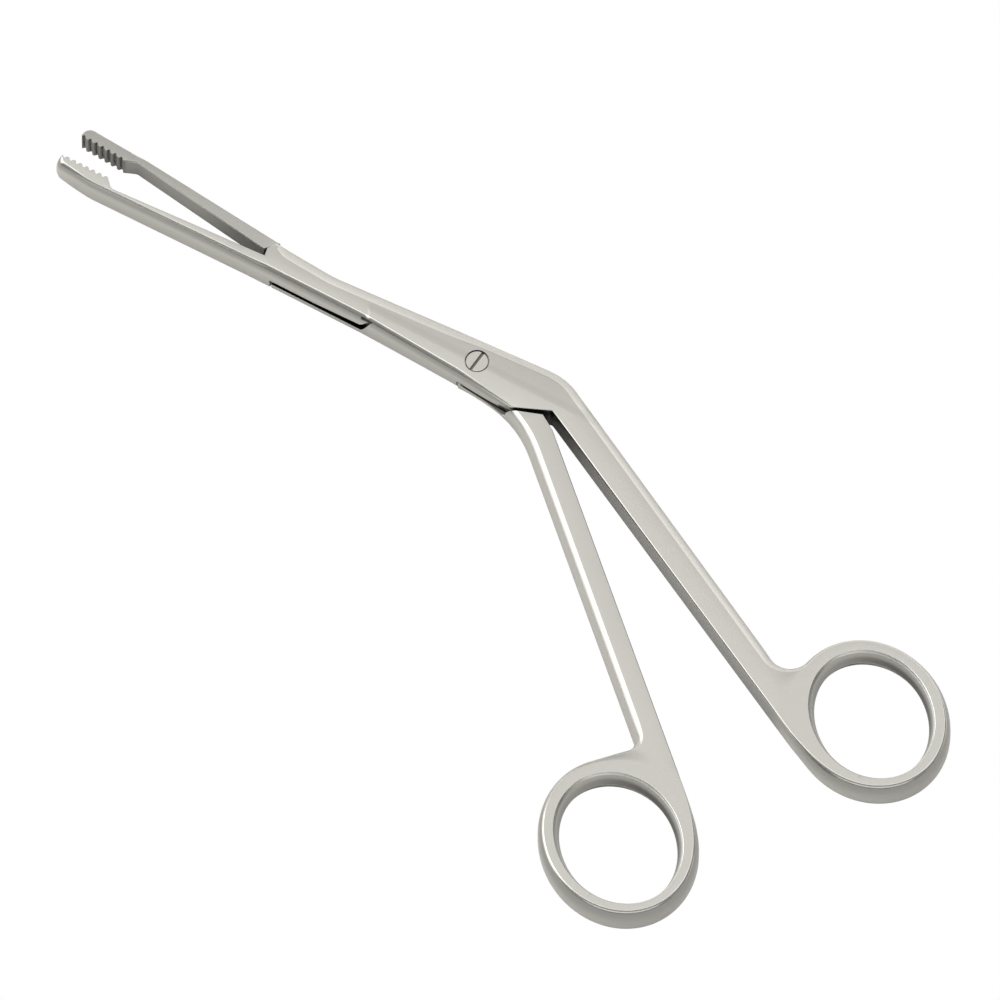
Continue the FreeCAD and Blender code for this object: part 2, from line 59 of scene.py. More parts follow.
@dataclass(frozen=True)
class Edge:
    """Rounding of one side.

    It goes in by inset and down by height from the near face. The power says how full the
    curve is, rear is the share of it on the rear face, and rim is a small last rounding.
    """

    inset: float
    height: float
    power: float = 2.0
    rear: float = 1.0
    rim: float = 0.0


SHARP = Edge(0.1, 0.1)
SOFT = Edge(0.22, 0.25)
TIP_START = Edge(0.4, 1.2, 2.0, 1.0)
JAW_TIP = Edge(1.4, 3.0, 2.0, 0.9)
JAW_BACK = Edge(1.3, 3.0, 1.9, 0.6)
ARM_THIN = Edge(0.85, 2.3, 1.8, 0.4)
ARM_BACK = Edge(1.25, 2.6, 1.8, 0.4)
ARM_INNER = Edge(0.2, 0.25)
SHAFT_LOW = Edge(1.4, 2.5, 1.8, 0.3)
CHEEK_LOW = Edge(1.2, 1.9)
CHEEK_END = Edge(0.3, 0.4)
SHAFT_TOP = Edge(2.2, 0.75)
ELBOW_TOP = Edge(1.7, 0.8)
HANDLE_BACK = Edge(1.9, 0.95)
HANDLE_BEVEL = Edge(1.9, 2.4, 1.8)
BEVEL_START = Edge(1.2, 1.9, 1.8)
HANDLE_INNER = Edge(0.32, 0.35)
RING_OUT = Edge(1.15, 3.4, 1.8, 0.45)
RING_IN = Edge(1.15, 2.95, 1.12, 1.0, 0.16)


@dataclass(frozen=True)
class Corner:
    """Corner of an outline and the side that starts there.

    The radius is that of the corner in plan. The side's rounding goes from edge to last,
    and blend is the length over which it merges into its neighbours.
    """

    x: float
    y: float
    radius: float = 0.0
    edge: Edge = SHARP
    last: Edge | None = None
    blend: float = 1.6


@dataclass(frozen=True)
class Oval:
    """Oval in plan: centre, tilt of the long axis below +X, and half axes."""

    x: float
    y: float
    tilt: float
    long: float
    short: float

    def at(self, turns: np.ndarray) -> np.ndarray:
        """Points on the oval.

        Args:
            turns: Angles from the long axis, in degrees.

        Returns:
            Array of x and y.
        """
        lean = math.radians(self.tilt)
        turns = np.radians(turns)
        u, v = self.long * np.cos(turns), self.short * np.sin(turns)
        return np.stack([self.x + u * math.cos(lean) + v * math.sin(lean),
                         self.y - u * math.sin(lean) + v * math.cos(lean)], axis=-1)

    def tangent_turn(self, point: Point, low: float, high: float) -> float:
        """Angle at which a straight line from a point outside touches the oval.

        Args:
            point: Point that the line comes from.
            low: Least angle tried, in degrees.
            high: Greatest angle tried, in degrees.

        Returns:
            The angle, in degrees.
        """
        turns = np.linspace(low, high, TANGENT_TRIES)
        spots = self.at(turns)
        ways = np.gradient(spots, axis=0)
        reach = spots - np.array(point)
        cross = reach[:, 0] * ways[:, 1] - reach[:, 1] * ways[:, 0]
        return float(turns[np.argmin(np.abs(cross))])


@dataclass(frozen=True)
class Ring:
    """Finger ring: its outer oval and the waist of its hole."""

    outer: Oval
    hole: Oval


LOWER_RING = Ring(Oval(96.35, -26.7, 30.0, 16.0, 14.0), Oval(96.75, -26.6, 36.8, 12.2, 9.9))
UPPER_RING = Ring(Oval(73.75, -65.65, 35.7, 16.4, 14.15), Oval(74.0, -66.05, 33.0, 12.5, 10.2))


def meet(a: np.ndarray, way_a: np.ndarray, b: np.ndarray, way_b: np.ndarray) -> np.ndarray:
    """Point where two lines cross.

    Args:
        a: Point of the first line.
        way_a: Direction of the first line.
        b: Point of the second line.
        way_b: Direction of the second line.

    Returns:
        The crossing.
    """
    share = np.linalg.solve(np.stack([way_a, -way_b], axis=1), b - a)[0]
    return a + way_a * share


def web_corner(ring: Ring, turn: float, start: Point, end: Point) -> np.ndarray:
    """Corner where the ring's tangent at a turn meets the line of the handle's back.

    Args:
        ring: The finger ring.
        turn: Angle of the tangent's point on the ring, in degrees.
        start: First point of the handle's back.
        end: Last point of the handle's back.

    Returns:
        The corner.
    """
    spot = ring.outer.at(np.array([turn - TANGENT_SPAN, turn + TANGENT_SPAN]))
    a, b = np.array(start), np.array(end)
    return meet(spot.mean(axis=0), spot[1] - spot[0], a, b - a)


def edge_values(edge: Edge) -> np.ndarray:
    """Values of an edge's rounding as an array."""
    return np.array([edge.inset, edge.height, edge.power, edge.rear, edge.rim])


class Outline:
    """Closed outline sampled finely enough to shade smoothly."""

    STEP = 0.55
    ARC_STEP = math.radians(5.0)
    LEAST_COSINE = 0.45

    def __init__(self, corners: list[Corner]) -> None:
        """Sample the outline through the corners, anticlockwise."""
        self.points: np.ndarray
        self.edges: np.ndarray
        self.blends: np.ndarray
        self._sample(corners)
        self._smooth_edges()

    def _sample(self, corners: list[Corner]) -> None:
        """Sample sides and corner arcs in order, with each sample's edge rounding."""
        points, edges, blends = [], [], []
        spots = np.array([(c.x, c.y) for c in corners])
        trims, arcs = [], []
        count = len(corners)
        for i, corner in enumerate(corners):
            here = spots[i]
            back = spots[i - 1] - here
            ahead = spots[(i + 1) % count] - here
            back = back / np.linalg.norm(back)
            ahead = ahead / np.linalg.norm(ahead)
            if corner.radius == 0.0:
                trims.append((here, here))
                arcs.append(None)
                continue
            half = math.acos(float(np.clip(back @ ahead, -1.0, 1.0))) / 2
            reach = corner.radius / math.tan(half)
            middle = back + ahead
            centre = here + middle / np.linalg.norm(middle) * corner.radius / math.sin(half)
            trims.append((here + back * reach, here + ahead * reach))
            arcs.append((centre, math.pi - 2 * half))
        for i, corner in enumerate(corners):
            before = corners[i - 1]
            first = edge_values(corner.edge)
            last = edge_values(corner.last or corner.edge)
            arrival = edge_values(before.last or before.edge)
            if arcs[i] is not None:
                centre, sweep = arcs[i]
                start, end = trims[i][0] - centre, trims[i][1] - centre
                steps = max(2, int(sweep / self.ARC_STEP))
                turn = math.atan2(start[0] * end[1] - start[1] * end[0], start @ end)
                for k in range(1, steps):
                    angle = turn * k / steps
                    c, s = math.cos(angle), math.sin(angle)
                    points.append(centre + (start[0] * c - start[1] * s, start[0] * s + start[1] * c))
                    edges.append(arrival + (first - arrival) * k / steps)
                    blends.append(before.blend + (corner.blend - before.blend) * k / steps)
            begin, end = trims[i][1], trims[(i + 1) % count][0]
            length = float(np.linalg.norm(end - begin))
            steps = max(1, int(length / self.STEP))
            stop = steps + 1 if arcs[(i + 1) % count] is not None else steps
            for k in range(stop):
                points.append(begin + (end - begin) * k / steps)
                edges.append(first + (last - first) * k / steps)
                blends.append(corner.blend)
        self.points = np.array(points)
        self.edges = np.array(edges)
        self.blends = np.array(blends)

    def _smooth_edges(self) -> None:
        """Blend the rounding along the outline so that it never jumps."""
        gaps = np.linalg.norm(np.roll(self.points, -1, axis=0) - self.points, axis=1)
        total = float(gaps.sum())
        place = np.concatenate([[0.0], np.cumsum(gaps)[:-1]])
        away = np.abs(place[:, None] - place[None, :])
        away = np.minimum(away, total - away)
        weight = np.clip(1.0 - away / self.blends[:, None], 0.0, None) * gaps[None, :]
        self.edges = weight @ self.edges / weight.sum(axis=1, keepdims=True)

    def inward(self) -> np.ndarray:
        """Inward offset of each sample for an inset of one, mitred at corners."""
        ahead = np.roll(self.points, -1, axis=0) - self.points
        ahead /= np.linalg.norm(ahead, axis=1, keepdims=True)
        normal = np.stack([-ahead[:, 1], ahead[:, 0]], axis=1)
        before = np.roll(normal, 1, axis=0)
        middle = normal + before
        middle /= np.linalg.norm(middle, axis=1, keepdims=True)
        cosine = np.clip((middle * normal).sum(axis=1, keepdims=True), self.LEAST_COSINE, 1.0)
        return middle / cosine


class Forging:
    """Solid of one outline with rounded rims, and ovals through it, as one mesh."""

    LEVELS = 12
    RIM_LEVELS = 4
    HOLE_SAMPLES = 144
    HALF_BAND = 0.02

    def __init__(self, low: float, high: float) -> None:
        """Start a solid between two heights."""
        self.low = low
        self.high = high
        self.vertices: list[np.ndarray] = []
        self.faces: list[tuple[int, ...]] = []
        self.rims: dict[str, list[np.ndarray]] = {"low": [], "high": []}
        self.count = 0

    def wall(self, points: np.ndarray, inward: np.ndarray, edges: np.ndarray) -> None:
        """Carry the rim's profile round a closed outline.

        At an angle f from 0 to 90 degrees the profile is in by
        inset * (1 - cos(f) ** (2 / power)) and up by height * sin(f) ** (2 / power)
        from where the rounding starts. A quarter circle of radius rim may follow. The rear
        face has the same profile, scaled by rear.

        Args:
            points: Samples of the outline.
            inward: Their offset into the metal for an inset of one.
            edges: Inset, height, power, rear share and rim at each sample.
        """
        angles = np.linspace(0.0, math.pi / 2, self.LEVELS)[:, None]
        last = np.linspace(0.0, math.pi / 2, self.RIM_LEVELS)[1:, None]
        inset, height, power, rear, rim = edges.T
        rise = np.sin(angles) ** (2.0 / power) * (height - rim)
        run = (1.0 - np.cos(angles).clip(0.0) ** (2.0 / power)) * (inset - rim)
        rise = np.concatenate([rise, height - rim + np.sin(last) * rim])
        run = np.concatenate([run, inset - rim + (1.0 - np.cos(last)) * rim])
        rows = []
        for share, mirror in ((rear, True), (np.ones_like(rear), False)):
            room = np.minimum(height * share, (self.high - self.low) / 2 - self.HALF_BAND) / height
            z = self.high - (height - rise) * room
            spot = points[None] + inward[None] * (run * share)[..., None]
            if mirror:
                z = self.low + self.high - z
            row = np.concatenate([spot, z[..., None]], axis=2)
            rows.append(row[::-1] if mirror else row)
        grid = np.concatenate(rows, axis=0)
        levels, samples = grid.shape[:2]
        index = np.arange(levels * samples).reshape(levels, samples) + self.count
        right = np.roll(index, -1, axis=1)
        quads = np.stack([index[:-1], right[:-1], right[1:], index[1:]], axis=-1).reshape(-1, 4)
        self.faces.extend(map(tuple, quads.tolist()))
        self.vertices.append(grid.reshape(-1, 3))
        self.rims["low"].append(index[0])
        self.rims["high"].append(index[-1])
        self.count += levels * samples

    def outline(self, outline: Outline) -> None:
        """Add the outer wall."""
        self.wall(outline.points, outline.inward(), outline.edges)

    def hole(self, ring: Ring) -> None:
        """Add the wall of a finger ring's hole, narrowest half way down."""
        turns = np.linspace(0.0, -360.0, self.HOLE_SAMPLES, endpoint=False)
        points = ring.hole.at(turns)
        ahead = np.roll(points, -1, axis=0) - np.roll(points, 1, axis=0)
        ahead /= np.linalg.norm(ahead, axis=1, keepdims=True)
        inward = np.stack([-ahead[:, 1], ahead[:, 0]], axis=1)
        edges = np.tile(edge_values(RING_IN), (len(points), 1))
        self.wall(points, inward, edges)

    def cap(self) -> None:
        """Close the near and the rear face between the rims."""
        everything = np.concatenate(self.vertices)
        for side, flip in (("low", True), ("high", False)):
            chosen = np.concatenate(self.rims[side])
            borders, start = [], 0
            for rim in self.rims[side]:
                ids = list(range(start, start + len(rim)))
                borders.extend(zip(ids, ids[1:] + ids[:1]))
                start += len(rim)
            outside = len(self.rims[side][0])
            flat = [Vector(p) for p in everything[chosen][:, :2].tolist()]
            _, _, triangles, origins, _, _ = delaunay_2d_cdt(flat, borders, [], 1, 1e-9)
            for triangle in triangles:
                places = [origins[v][0] for v in triangle]
                if min(places) >= outside:
                    continue
                ids = chosen[places].tolist()
                self.faces.append(tuple(ids[::-1] if flip else ids))

    def mesh(self, name: str, turn: float) -> bpy.types.Mesh:
        """Make the mesh in metres, turned about the pivot axis.

        Args:
            name: Name of the mesh.
            turn: Turn about +Z in degrees.

        Returns:
            The new mesh.
        """
        data = bpy.data.meshes.new(name)
        data.from_pydata((turned(np.concatenate(self.vertices), turn) * MM).tolist(), [], self.faces)
        data.validate()
        return data


def turned(points: np.ndarray, turn: float) -> np.ndarray:
    """Turn points about the pivot axis by an angle in degrees."""
    c, s = math.cos(math.radians(turn)), math.sin(math.radians(turn))
    return np.stack([points[:, 0] * c - points[:, 1] * s, points[:, 0] * s + points[:, 1] * c,
                     points[:, 2]], axis=1)


class Step(Enum):
    """What a tool does to a piece."""

    CUT = "DIFFERENCE"
    JOIN = "UNION"


@dataclass(frozen=True)
class Prism:
    """Plain prism that cuts or joins, in millimetres.

    Its polygon is anticlockwise, in X and Y, with low and high as heights. One that lies
    across has its polygon in X and Z, and low and high along Y. The turn is about +Z.
    """

    name: str
    corners: tuple[Point, ...]
    low: float
    high: float
    across: bool = False
    turn: float = 0.0
    step: Step = Step.CUT

    def make(self) -> bpy.types.Object:
        """Make the prism as an object outside every collection."""
        if self.across:
            points = [(x, y, z) for y in (self.high, self.low) for x, z in self.corners]
        else:
            points = [(x, y, z) for z in (self.low, self.high) for x, y in self.corners]
        count = len(self.corners)
        faces = [tuple(range(count))[::-1], tuple(range(count, 2 * count))]
        faces += [(i, (i + 1) % count, count + (i + 1) % count, count + i) for i in range(count)]
        data = bpy.data.meshes.new(self.name)
        data.from_pydata((turned(np.array(points), self.turn) * MM).tolist(), [], faces)
        return bpy.data.objects.new(self.name, data)


@dataclass(frozen=True)
class Comb:
    """Row of wedges that cuts a jaw's grooves, all in one mesh, in millimetres.

    The line is the height of the jaw's face, and shift moves the row along X. The way is 1
    when the grooves go up and -1 when they go down. Half is a groove's half width at the
    face, flat its half width at the bottom, and foot what the comb stands out.
    """

    name: str
    line: float
    shift: float
    way: float
    turn: float = 0.0
    start: float = -85.87
    pitch: float = 1.33
    depth: float = 0.5
    count: int = 7
    half: float = 0.5
    flat: float = 0.08
    foot: float = 0.12
    low: float = -0.5
    high: float = 6.5
    step: Step = Step.CUT

    def make(self) -> bpy.types.Object:
        """Make the comb as an object outside every collection."""
        slope = (self.half - self.flat) / self.depth
        wide = self.half + self.foot * slope
        base, top = self.line - self.way * self.foot, self.line + self.way * self.depth
        points, faces = [], []
        for number in range(self.count):
            middle = self.shift + self.start + self.pitch * (number + 0.5)
            ring = [(middle - wide, base), (middle + wide, base), (middle + self.flat, top),
                    (middle - self.flat, top)]
            if self.way < 0:
                ring.reverse()
            first = len(points)
            points += [(x, y, z) for z in (self.low, self.high) for x, y in ring]
            faces += [tuple(first + k for k in face) for face in
                      ((3, 2, 1, 0), (4, 5, 6, 7), (0, 1, 5, 4), (1, 2, 6, 5), (2, 3, 7, 6),
                       (3, 0, 4, 7))]
        data = bpy.data.meshes.new(self.name)
        data.from_pydata((turned(np.array(points), self.turn) * MM).tolist(), [], faces)
        return bpy.data.objects.new(self.name, data)


def disc(radius: float, sides: int = 96) -> tuple[Point, ...]:
    """Corners of a round polygon about the pivot axis."""
    return tuple((radius * math.cos(2 * math.pi * k / sides),
                  radius * math.sin(2 * math.pi * k / sides)) for k in range(sides))


def box(low_x: float, high_x: float, low_y: float, high_y: float) -> tuple[Point, ...]:
    """Corners of an upright rectangle."""
    return (low_x, low_y), (high_x, low_y), (high_x, high_y), (low_x, high_y)


def carve(target: bpy.types.Object, steps: list[tuple[Step, bpy.types.Object]]) -> None:
    """Cut and join tools on a piece, one after the other, and shade the result.

    Args:
        target: Piece to change.
        steps: What to do with which tool.
    """
    scene = bpy.context.scene.collection
    for how, tool in steps:
        scene.objects.link(tool)
        change = target.modifiers.new(tool.name, "BOOLEAN")
        change.operation = how.value
        change.solver = "EXACT"
        change.object = tool
    shading = target.modifiers.new("shading", "WEIGHTED_NORMAL")
    shading.mode = "FACE_AREA"
    shading.weight = SHADING_WEIGHT
    shading.keep_sharp = True
    depsgraph = bpy.context.evaluated_depsgraph_get()
    modifiers = [m for m in target.modifiers if m.type == "BOOLEAN"]
    shading.show_viewport = False
    depsgraph.update()
    carved = bpy.data.meshes.new_from_object(target.evaluated_get(depsgraph))
    for change in modifiers:
        target.modifiers.remove(change)
    for _, tool in steps:
        bpy.data.objects.remove(tool)
    shading.show_viewport = True
    target.data = carved
    carved.polygons.foreach_set("use_smooth", np.ones(len(carved.polygons), dtype=bool))
    carved.set_sharp_from_angle(angle=SHARP_ANGLE)


def new_piece(name: str, mesh: bpy.types.Mesh, body: str, node: str) -> bpy.types.Object:
    """Put a new piece in the scene on its body, in place of a node.

    Args:
        name: Name of the piece.
        mesh: Its mesh.
        body: Rigid body that carries it.
        node: Node that it stands for.

    Returns:
        The piece.
    """
    piece = bpy.data.objects.new(name, mesh)
    bpy.context.scene.collection.objects.link(piece)
    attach(piece, body)
    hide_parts(node)
    return piece


TEETH_LINE = -0.62
TEETH_MESH = 0.2
UPPER_FACE = TEETH_LINE - TEETH_MESH
UPPER_TURN = -OPEN_ANGLE
RING_STEP = 2.5
RING_BLEND = 7.0


def ring_corners(ring: Ring, low: float, high: float, edge: Edge) -> list[Corner]:
    """Outer oval between two turns as fine corners."""
    turns = np.linspace(low, high, int(abs(high - low) / RING_STEP))
    return [Corner(x, y, 0.0, edge, None, RING_BLEND) for x, y in ring.outer.at(turns).tolist()]


def ringed_forging(outline: Outline, ring: Ring) -> Forging:
    """Forging of full depth with a finger ring's hole, closed on both faces."""
    forging = Forging(0.0, DEPTH)
    forging.outline(outline)
    forging.hole(ring)
    forging.cap()
    return forging


@dataclass(frozen=True)
class LowerShank:
    """Lower jaw shank with its near cheek, recess, slot and finger ring, in millimetres.

    The corners below run from the tip to the cheek, those above from the shaft's top to
    the teeth. The touch range holds the turn at which the handle's inner side meets the ring.
    """

    ring: Ring = LOWER_RING
    web_turn: float = 195.0
    touch_range: Point = (-115.0, -60.0)
    inner_elbow: Point = (16.7, -2.0)
    elbow: Point = (15.6, 5.25)
    back_root: Point = (84.3, -30.15)
    below: tuple[Corner, ...] = (
        Corner(-86.05, TEETH_LINE, 0.5, TIP_START, JAW_TIP),
        Corner(-86.8, -3.07, 1.6, JAW_TIP, JAW_BACK, 3.0),
        Corner(-83.5, -3.3, 0.0, JAW_BACK, ARM_THIN, 3.0),
        Corner(-78.6, -3.64, 12.0, ARM_THIN, ARM_BACK, 3.0),
        Corner(-43.8, -3.08, 0.0, SHAFT_LOW),
        Corner(-42.0, -3.02, 0.0, SHAFT_LOW),
        Corner(-22.3, -3.02, 0.0, SHAFT_LOW, CHEEK_LOW),
        Corner(-1.95, -4.05, 0.0, CHEEK_LOW, CHEEK_END),
        Corner(10.0, -5.0, 0.0, SHARP),
    )
    above: tuple[Corner, ...] = (
        Corner(-4.0, 4.02, 30.0, SHAFT_TOP, None, 6.0),
        Corner(-31.0, 2.2, 20.0, SHAFT_TOP, None, 3.0),
        Corner(-43.0, 2.95, 0.0, SHARP),
        Corner(-44.2, 1.2, 0.0, SHARP),
        Corner(-43.9, -0.35, 0.0, SOFT),
        Corner(-57.0, -1.15, 60.0, ARM_INNER),
        Corner(-74.8, -2.3, 1.2, SOFT),
        Corner(-76.4, TEETH_LINE, 0.0, SHARP),
    )
    tools: tuple[Prism | Comb, ...] = (
        Prism("lap recess", (
            (-44.5, -1.9), (-1.95, -1.9), (-1.95, -12.0), (27.19, -12.0), (17.94, -3.44),
            (-1.82, 6.7), (-44.5, 6.7)), -0.5, 2.9),
        Prism("arm recess", box(-57.0, -42.4, -1.9, 12.0), -0.5, 5.08),
        Prism("flange slot", (
            (-41.4, 1.7), (-22.4, 1.7), (-21.9, 2.5), (-20.5, 5.5), (-20.8, 5.6), (-22.6, 3.6),
            (-25.0, 3.4), (-32.0, 2.9), (-41.4, 2.85)), -12.0, -2.3, across=True),
        Prism("flange room", box(-41.4, -22.4, -12.0, -1.4), 1.7, 2.88),
        Prism("strip kerf", box(-41.4, -41.0, -12.0, -1.4), -0.5, 2.2),
        Prism("cheek hook", (
            (-2.4, 2.8), (-2.0, 3.15), (-1.6, 3.1), (-2.0, 2.75), (-1.6, 2.2), (-2.1, 2.3)),
            -12.0, -3.4, across=True),
        Prism("head seat", disc(2.24), 4.6, 7.0),
        Prism("cheek bore", disc(1.55), -0.5, 5.0),
        Comb("lower teeth", line=TEETH_LINE, shift=0.0, way=-1.0),
    )

    def outline(self) -> Outline:
        """Outline, anticlockwise from the tip."""
        touch = self.ring.outer.tangent_turn(self.inner_elbow, *self.touch_range)
        web = web_corner(self.ring, self.web_turn, self.back_root, self.elbow)
        return Outline([
            *self.below,
            Corner(*self.inner_elbow, 0.8, HANDLE_INNER, None, 6.0),
            *ring_corners(self.ring, touch, self.web_turn, RING_OUT),
            Corner(*web, 4.0, HANDLE_BACK, None, 6.0),
            Corner(*self.elbow, 12.0, ELBOW_TOP, None, 6.0),
            *self.above,
        ])

    def build(self) -> bpy.types.Object:
        """Build the shank as one cut mesh."""
        forging = ringed_forging(self.outline(), self.ring)
        piece = new_piece("lower_shank_metal", forging.mesh("lower_shank_metal", 0.0),
                          "lower shank", "lower_jaw_shank")
        carve(piece, [(tool.step, tool.make()) for tool in self.tools])
        return piece

    def dress(self, piece: bpy.types.Object) -> None:
        """Give the shank its steel."""
        layout = Layout(angle=-27.0, start=14.0, middle=8.8, ring=self.ring, turn=0.0,
                        crown=0.04, wall=(-0.454, -0.891), wall_share=0.6, step=0.16)
        piece.data.materials.append(steel("lower steel", LOWER_STEEL, layout))


@dataclass(frozen=True)
class UpperShank:
    """Upper jaw shank with its rear lap, guide flange, arm, jaw and finger ring.

    The sizes are in millimetres and hold for shut jaws, apart from those of the cheek gap,
    which lies under the other shank's cheek at rest. The turn opens the jaws. The corners
    of the lap run from the shoulder to the handle's bevel.
    """

    turn: float = UPPER_TURN
    ring: Ring = UPPER_RING
    web_turn: float = 178.0
    touch_range: Point = (55.0, 110.0)
    bevel_start: Point = (-1.33, -4.25)
    bend: Point = (11.57, -4.75)
    back_root: Point = (73.4, -54.0)
    shoulder_back: Point = (19.0, -4.09)
    lap: tuple[Corner, ...] = (
        Corner(15.9, -2.49, 0.0, SHARP),
        Corner(4.6, 3.25, 0.0, SHARP),
        Corner(-4.6, 3.25, 0.0, SHARP),
        Corner(-22.0, 0.95, 0.0, SHARP),
        Corner(-44.6, 0.5, 0.0, SHARP),
        Corner(-44.6, -1.8, 0.0, SHARP),
        Corner(-1.33, -1.8, 0.0, SHARP),
    )
    arm_depth: float = 5.0
    arm: tuple[Corner, ...] = (
        Corner(-85.15, UPPER_FACE, 0.35, SHARP),
        Corner(-75.9, UPPER_FACE, 0.3, SOFT),
        Corner(-73.7, 0.3, 1.5, SHARP),
        Corner(-44.9, -1.72, 0.0, SHARP),
        Corner(-43.0, 0.75, 0.0, Edge(0.3, 0.5)),
        Corner(-73.7, 1.6, 40.0, Edge(0.75, 0.9)),
        Corner(-85.2, 1.5, 1.6, Edge(0.25, 0.5)),
    )
    relief: Prism = Prism("shoulder relief", (
        (-55.0, -12.0), (-2.0, -10.5), (22.0, 0.25), (22.0, 12.0), (-55.0, 12.0)),
        2.82, 7.0, turn=UPPER_TURN)
    tools: tuple[Prism | Comb, ...] = (
        Comb("upper teeth", line=UPPER_FACE, shift=Comb.pitch / 2, way=1.0, turn=UPPER_TURN),
        Prism("guide flange", box(-40.2, -23.1, -2.7, -1.3), 1.79, 2.81, turn=UPPER_TURN,
              step=Step.JOIN),
        Prism("cheek gap", (
            (-0.5, -4.6), (9.2, -5.45), (13.0, -4.2), (13.0, -3.2), (-0.5, -3.2)), 2.45, 3.2),
        Prism("lap bore", disc(1.54), -0.5, 3.5, turn=UPPER_TURN),
        Prism("tail seat", disc(2.08), -0.5, 0.78, turn=UPPER_TURN),
    )

    def outline(self) -> Outline:
        """Outline of the lap, the handle and the ring."""
        web = web_corner(self.ring, self.web_turn, self.bend, self.back_root)
        touch = self.ring.outer.tangent_turn(self.shoulder_back, *self.touch_range)
        return Outline([
            Corner(*self.bevel_start, 0.0, BEVEL_START, BEVEL_START, 4.0),
            Corner(*self.bend, 22.0, HANDLE_BEVEL, None, 4.0),
            Corner(*web, 1.9, RING_OUT, None, 5.0),
            *ring_corners(self.ring, self.web_turn, 360.0 + touch, RING_OUT)[:-1],
            Corner(*self.ring.outer.at(np.array(touch)), 0.0, HANDLE_INNER, None, 6.0),
            Corner(*self.shoulder_back, 0.0, SHARP),
            *self.lap,
        ])

    def arm_block(self) -> bpy.types.Object:
        """Arm and jaw, to be joined to the lap."""
        arm = Forging(0.0, self.arm_depth)
        arm.outline(Outline(list(self.arm)))
        arm.cap()
        return bpy.data.objects.new("arm", arm.mesh("arm", self.turn))

    def build(self) -> bpy.types.Object:
        """Build the shank as one mesh, joined and cut."""
        forging = ringed_forging(self.outline(), self.ring)
        piece = new_piece("upper_shank_metal", forging.mesh("upper_shank_metal", self.turn),
                          "upper shank", "upper_jaw_shank")
        carve(piece, [(self.relief.step, self.relief.make()), (Step.JOIN, self.arm_block())]
              + [(tool.step, tool.make()) for tool in self.tools])
        return piece

    def dress(self, piece: bpy.types.Object) -> None:
        """Give the shank its steel."""
        layout = Layout(angle=-42.4, start=8.0, middle=6.6, ring=self.ring, turn=self.turn,
                        crown=0.03, wall=(0.674, 0.739), wall_share=0.35)
        piece.data.materials.append(steel("upper steel", UPPER_STEEL, layout))


@dataclass(frozen=True)
class PivotScrew:
    """Slotted pivot screw with a head a little smaller than its seat, in millimetres.

    The profile is radius and height, from the tail's rim up to the head's.
    """

    profile: tuple[Point, ...] = (
        (1.9, 0.0), (2.0, 0.1), (2.0, 0.7), (1.5, 0.72), (1.5, 4.9), (2.06, 4.92), (2.06, 5.86),
        (1.96, 5.97), (1.85, 6.0))
    sides: int = 96
    slot: Prism = Prism("slot", box(-3.0, 3.0, -0.28, 0.28), 5.4, 7.0, turn=85.6)

    def build(self) -> bpy.types.Object:
        """Turn the profile about the pivot axis and cut the slot."""
        angles = np.linspace(0.0, 2 * math.pi, self.sides, endpoint=False)
        radius, height = np.array(self.profile).T
        grid = np.stack([radius[:, None] * np.cos(angles), radius[:, None] * np.sin(angles),
                         np.broadcast_to(height[:, None], (len(radius), self.sides))], axis=-1)
        index = np.arange(grid.shape[0] * self.sides).reshape(-1, self.sides)
        right = np.roll(index, -1, axis=1)
        quads = np.stack([index[:-1], right[:-1], right[1:], index[1:]], axis=-1)
        faces = quads.reshape(-1, 4).tolist() + [index[0][::-1].tolist(), index[-1].tolist()]
        mesh = bpy.data.meshes.new("pivot_screw_metal")
        mesh.from_pydata((grid.reshape(-1, 3) * MM).tolist(), [], faces)
        piece = new_piece("pivot_screw_metal", mesh, "lower shank", "pivot_screw")
        carve(piece, [(self.slot.step, self.slot.make())])
        return piece

    def dress(self, piece: bpy.types.Object) -> None:
        """Give the screw its steel."""
        piece.data.materials.append(steel("screw steel", SCREW_STEEL, None))


class Socket:
    """Output socket with arithmetic that adds math nodes."""

    def __init__(self, tree: "Tree", socket: bpy.types.NodeSocket) -> None:
        """Wrap a socket of a tree."""
        self.tree = tree
        self.socket = socket

    def _math(self, operation: str, *values: object, clamp: bool = False) -> "Socket":
        """Add a math node on this value and others."""
        node = self.tree.add("ShaderNodeMath", operation=operation, use_clamp=clamp)
        for place, value in enumerate(values):
            self.tree.feed(node.inputs[place], value)
        return Socket(self.tree, node.outputs[0])

    def __add__(self, other: object) -> "Socket":
        """Sum with another value."""
        return self._math("ADD", self, other)

    __radd__ = __add__

    def __sub__(self, other: object) -> "Socket":
        """Difference with another value."""
        return self._math("SUBTRACT", self, other)

    def __rsub__(self, other: object) -> "Socket":
        """Another value less this one."""
        return self._math("SUBTRACT", other, self)

    def __mul__(self, other: object) -> "Socket":
        """Product with another value."""
        return self._math("MULTIPLY", self, other)

    __rmul__ = __mul__

    def __truediv__(self, other: object) -> "Socket":
        """Quotient with another value."""
        return self._math("DIVIDE", self, other)

    def ramp(self, low: float, high: float) -> "Socket":
        """Smooth step from 0 at low to 1 at high."""
        share = self._math("DIVIDE", self - low, high - low, clamp=True)
        return share * share * (3.0 - 2.0 * share)

    def fall(self, low: float, high: float) -> "Socket":
        """Smooth step from 1 at low to 0 at high."""
        return (self * -1.0).ramp(-high, -low)

    def root(self) -> "Socket":
        """Square root."""
        return self._math("SQRT", self)

    def angle_to(self, other: "Socket") -> "Socket":
        """Angle whose sine side is this value and whose cosine side is the other."""
        return self._math("ARCTAN2", self, other)


